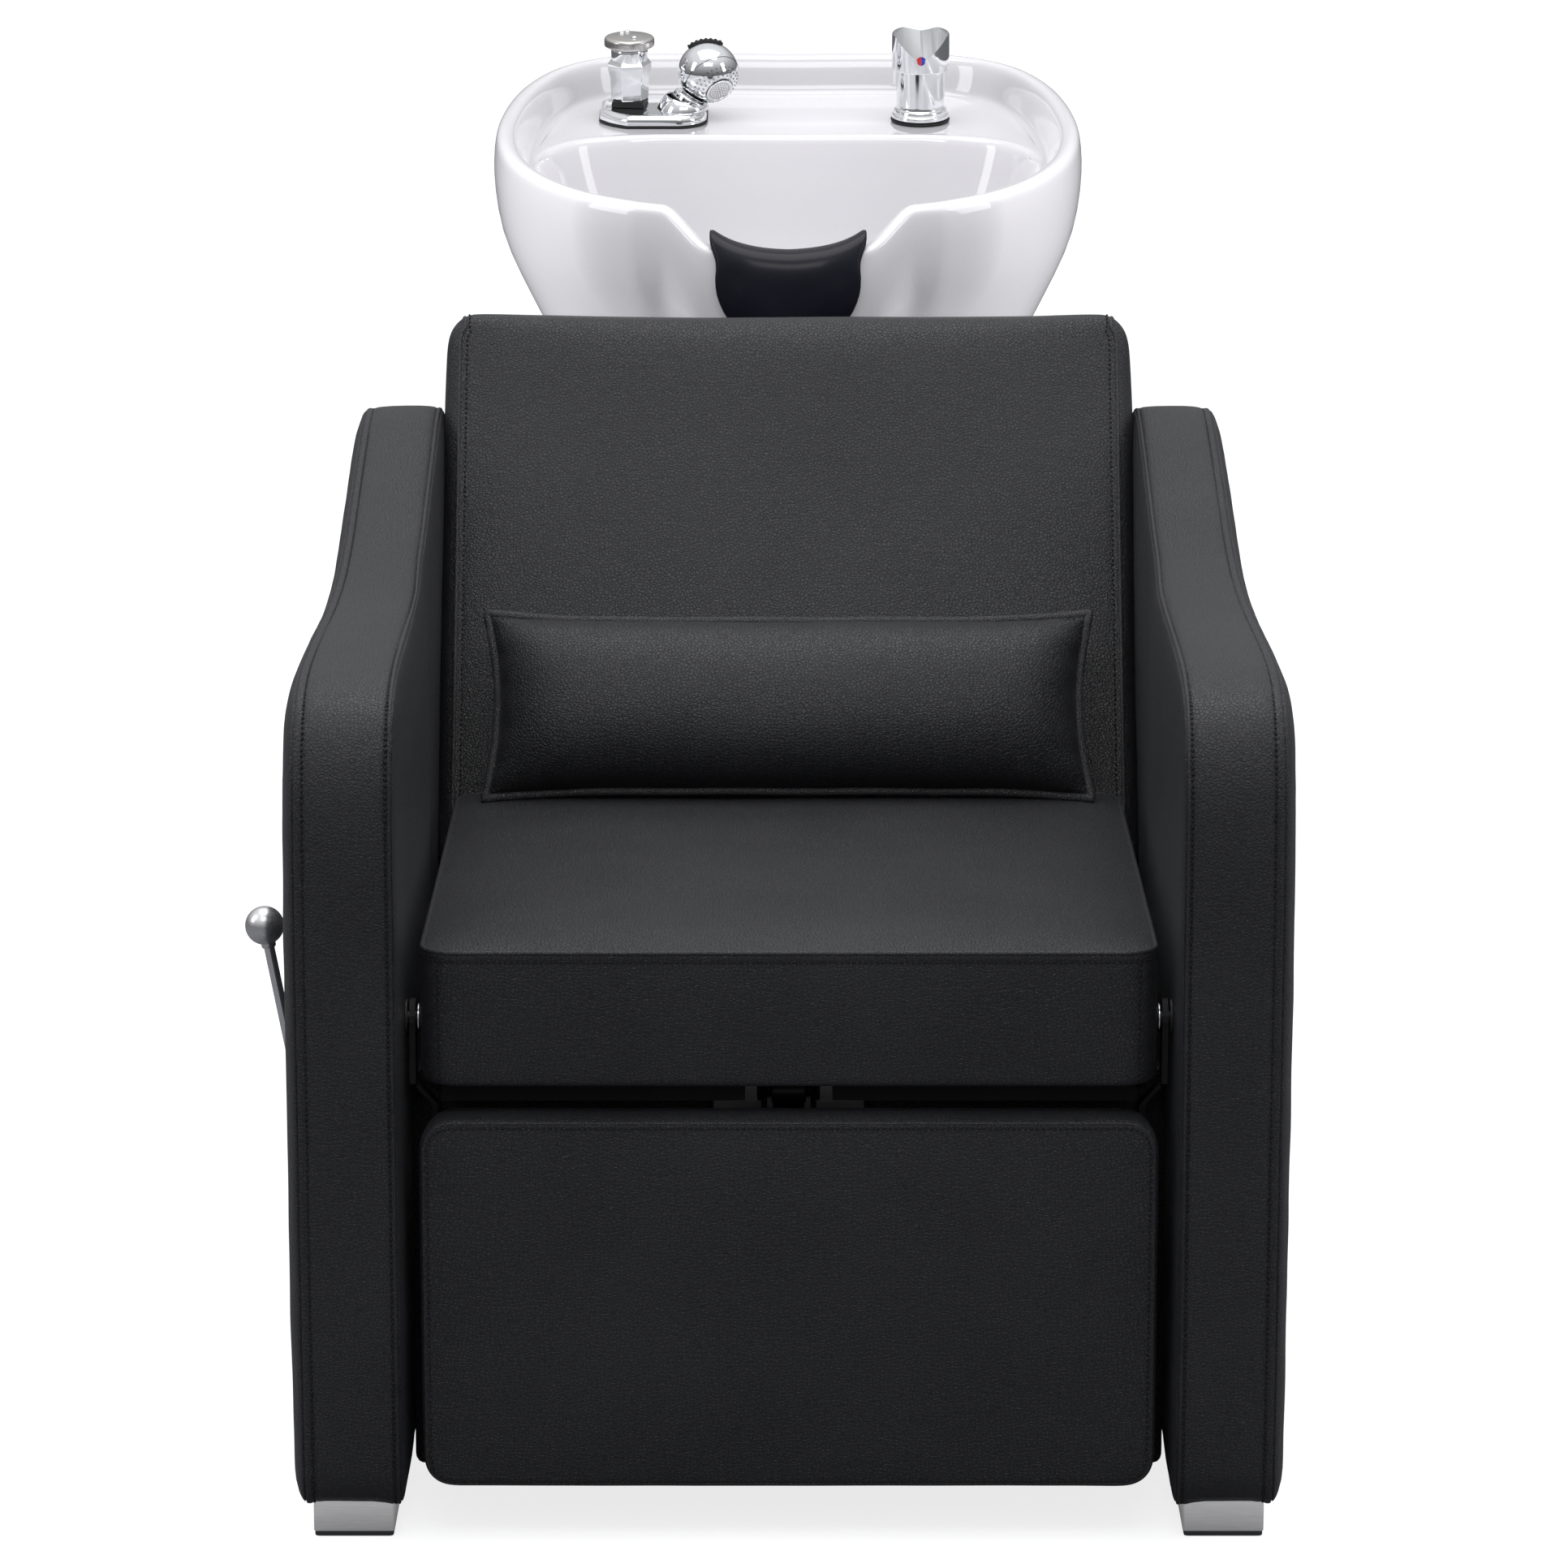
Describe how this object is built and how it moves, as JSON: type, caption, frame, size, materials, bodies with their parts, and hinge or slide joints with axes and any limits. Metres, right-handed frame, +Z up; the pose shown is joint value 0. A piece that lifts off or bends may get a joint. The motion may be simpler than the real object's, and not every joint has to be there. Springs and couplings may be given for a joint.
{
  "type": "shampoo backwash unit",
  "caption": "Reclined salon wash chair with lifting leg rest, scroll arms and lumbar pillow, joined to a pedestal with a tilting ceramic neck basin, mixer tap and pull-out hand spray.",
  "frame": {"origin": "centre of the pedestal's foot plate, on the floor", "axes": "+Z up, +Y from the leg rest towards the basin, +X to the right when the unit is seen from the leg rest's end"},
  "size_m": [0.725, 1.4231, 0.9045],
  "materials": {
    "upholstery": "satin",
    "plywood": "matte",
    "black_steel": "satin",
    "chrome": "polished",
    "satin_steel": "satin",
    "ceramic": "gloss",
    "rubber": "satin",
    "black_plastic": "satin",
    "braided_hose": "satin",
    "laminate": "satin",
    "indicator": "gloss"
  },
  "bodies": {
    "frame": {"base_frame": "black_steel", "arm_frame_left": "plywood", "arm_frame_right": "plywood", "arm_padding_left": "upholstery", "arm_padding_right": "upholstery", "backrest_board": "black_plastic", "backrest_cushion": "upholstery", "basin_column": "black_steel", "foot_front_left": "satin_steel", "foot_front_right": "satin_steel", "foot_rear_left": "satin_steel", "foot_rear_right": "satin_steel", "footrest_pivot_bolt_left": "chrome", "footrest_pivot_bolt_right": "chrome", "front_apron": "upholstery", "glide_front_left": "black_plastic", "glide_front_right": "black_plastic", "glide_rear_left": "black_plastic", "glide_rear_right": "black_plastic", "lever_escutcheon": "black_plastic", "pedestal_foot_plate": "black_steel", "pedestal_shell": "laminate", "seat_cushion": "upholstery", "seat_deck": "plywood", "tilt_axle": "satin_steel", "waste_hose": "black_plastic"},
    "footrest": {"footrest_pad": "upholstery", "footrest_board": "plywood", "footrest_crank": "black_steel", "footrest_link_left": "black_steel", "footrest_link_right": "black_steel"},
    "gas_rod": {"gas_spring_rod": "chrome"},
    "gas_cylinder": {"gas_spring_cylinder": "black_steel"},
    "release_lever": {"lever_shaft": "chrome", "lever_knob": "satin_steel"},
    "pillow": {"lumbar_pillow": "upholstery"},
    "basin": {"basin_bowl": "ceramic", "basin_cradle": "black_steel", "drain_body": "chrome", "tap_plate": "chrome", "tap_plate_gasket": "rubber", "breaker_body": "chrome", "breaker_bonnet": "chrome", "breaker_collar": "rubber", "mixer_gasket": "rubber", "mixer_body": "chrome", "spray_socket": "chrome", "supply_hose_hot": "braided_hose", "supply_hose_cold": "braided_hose"},
    "tilt_lock": {"tilt_lock_handle": "black_plastic"},
    "strainer": {"hair_strainer": "chrome"},
    "neck_rest": {"neck_rest": "rubber"},
    "mixer_spindle": {"mixer_stem": "chrome"},
    "mixer_handle": {"mixer_cap": "chrome", "mixer_indicator": "indicator"},
    "sprayer": {"spray_head": "chrome", "spray_face": "satin_steel", "spray_hose": "braided_hose"},
    "spray_valve": {"spray_thumb_valve": "rubber"},
    "pedestal_door": {"pedestal_door": "laminate"}
  },
  "joints": [
    {"name": "footrest_lift", "type": "hinge", "parent": "frame", "child": "footrest", "pos_m": [0, -1.055, 0.362], "axis": [-1, 0, 0], "range_deg": [0, 80]},
    {"name": "gas_swing", "type": "hinge", "parent": "frame", "child": "gas_rod", "pos_m": [0, -0.82, 0.13], "axis": [1, 0, 0], "range_deg": [0, 7.63]},
    {"name": "gas_extend", "type": "slide", "parent": "gas_rod", "child": "gas_cylinder", "axis": [0, -0.7619, 0.6476], "range_m": [0, 0.08273]},
    {"name": "lever_pull", "type": "hinge", "parent": "frame", "child": "release_lever", "pos_m": [-0.3, -0.92, 0.275], "axis": [-1, 0, 0], "range_deg": [0, 28]},
    {"name": "pillow_lift", "type": "slide", "parent": "frame", "child": "pillow", "axis": [0, -0.8686, 0.4955], "range_m": [0, 0.3]},
    {"name": "basin_tilt", "type": "hinge", "parent": "frame", "child": "basin", "pos_m": [0, -0.04, 0.585], "axis": [-1, 0, 0], "range_deg": [-3, 15]},
    {"name": "tilt_lock_turn", "type": "hinge", "parent": "frame", "child": "tilt_lock", "pos_m": [0.11, -0.04, 0.585], "axis": [-1, 0, 0], "range_deg": [0, 60]},
    {"name": "strainer_lift", "type": "slide", "parent": "basin", "child": "strainer", "axis": [0, 0, 1], "range_m": [0, 0.12]},
    {"name": "neck_rest_lift", "type": "slide", "parent": "basin", "child": "neck_rest", "axis": [0, 0, 1], "range_m": [0, 0.1]},
    {"name": "mixer_swivel", "type": "hinge", "parent": "basin", "child": "mixer_spindle", "pos_m": [0.1142, 0.188, 0.82827], "axis": [0, -0.1318, 0.9913], "range_deg": [-40, 40]},
    {"name": "mixer_lift", "type": "hinge", "parent": "mixer_spindle", "child": "mixer_handle", "pos_m": [0.1142, 0.19958, 0.87773], "axis": [-1, 0, 0], "range_deg": [0, 20]},
    {"name": "sprayer_pull", "type": "slide", "parent": "basin", "child": "sprayer", "axis": [0.5141, -0.0599, 0.8556], "range_m": [0, 0.12]},
    {"name": "valve_press", "type": "slide", "parent": "sprayer", "child": "spray_valve", "axis": [0.1, -0.2201, -0.9703], "range_m": [0, 0.0018]},
    {"name": "door_swing", "type": "hinge", "parent": "frame", "child": "pedestal_door", "pos_m": [0.15, 0.185, 0.3], "axis": [0, 0, -1], "range_deg": [0, 100]}
  ],
  "couplings": [
    {"joint": "gas_swing", "follows": "footrest_lift", "ratio": 0.094756},
    {"joint": "gas_extend", "follows": "footrest_lift", "m_per_rad": 0.059038}
  ]
}
